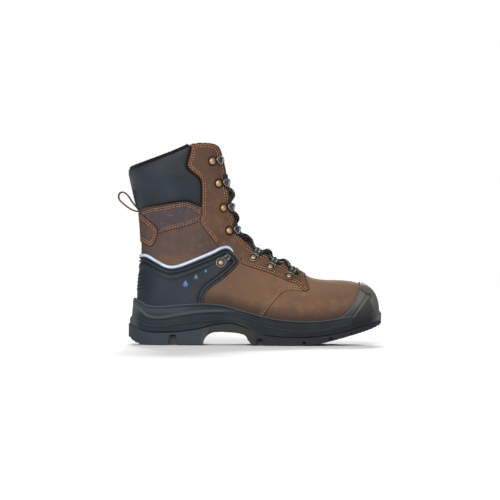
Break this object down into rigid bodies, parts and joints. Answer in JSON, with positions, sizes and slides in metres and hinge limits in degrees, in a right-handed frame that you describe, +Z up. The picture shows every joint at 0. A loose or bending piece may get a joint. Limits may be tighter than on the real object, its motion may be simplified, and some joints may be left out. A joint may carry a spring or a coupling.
{
  "type": "safety boot",
  "caption": "High lace-up safety boot in brown leather on a black moulded sole with toe bumper, with heel counter, padded collar, lace hooks and a pull loop.",
  "frame": {"origin": "on the floor under the middle of the boot's box", "axes": "+X along the boot to the toe, -Y to the outer (lateral) side, +Z up the leg"},
  "size_m": [0.3196, 0.1154, 0.243],
  "materials": {
    "leather": "waxed brown grain leather, dull sheen",
    "panel_leather": "darker brown leather",
    "pad": "black coated cloth over foam",
    "sole": "black moulded foam rubber, satin",
    "tread": "black rubber, matt",
    "counter": "black moulded shell, satin",
    "piping": "pale reflective strip",
    "textile": "black cloth",
    "footbed": "black cloth over foam",
    "fitting": "black metal, worn at the edges",
    "rivet": "aged brass",
    "lace": "black braided cord with grey flecks"
  },
  "bodies": {
    "root": {"outsole": "tread", "midsole": "sole", "upper": "leather", "tongue": "textile", "insole": "footbed", "heel_counter": "counter", "piping": "piping", "collar_pad": "pad", "heel_tab": "panel_leather", "pull_loop": "panel_leather", "eyestay_lateral": "leather", "ankle_band_lateral": "panel_leather", "ring_lateral_1": "fitting", "rivet_ring_lateral_1": "rivet", "ring_lateral_2": "fitting", "rivet_ring_lateral_2": "rivet", "ring_lateral_3": "fitting", "rivet_ring_lateral_3": "rivet", "ring_lateral_ankle": "fitting", "rivet_ring_lateral_ankle": "rivet", "hook_lateral_1": "fitting", "rivet_hook_lateral_1": "rivet", "hook_lateral_2": "fitting", "rivet_hook_lateral_2": "rivet", "hook_lateral_3": "fitting", "rivet_hook_lateral_3": "rivet", "hook_lateral_4": "fitting", "rivet_hook_lateral_4": "rivet", "eyestay_medial": "leather", "ankle_band_medial": "panel_leather", "ring_medial_1": "fitting", "rivet_ring_medial_1": "rivet", "ring_medial_2": "fitting", "rivet_ring_medial_2": "rivet", "ring_medial_3": "fitting", "rivet_ring_medial_3": "rivet", "ring_medial_ankle": "fitting", "rivet_ring_medial_ankle": "rivet", "hook_medial_1": "fitting", "rivet_hook_medial_1": "rivet", "hook_medial_2": "fitting", "rivet_hook_medial_2": "rivet", "hook_medial_3": "fitting", "rivet_hook_medial_3": "rivet", "hook_medial_4": "fitting", "rivet_hook_medial_4": "rivet", "lace_bar": "lace", "lace_cross_1": "lace", "lace_cross_2": "lace", "lace_cross_3": "lace", "lace_cross_4": "lace", "lace_cross_5": "lace"}
  },
  "joints": []
}
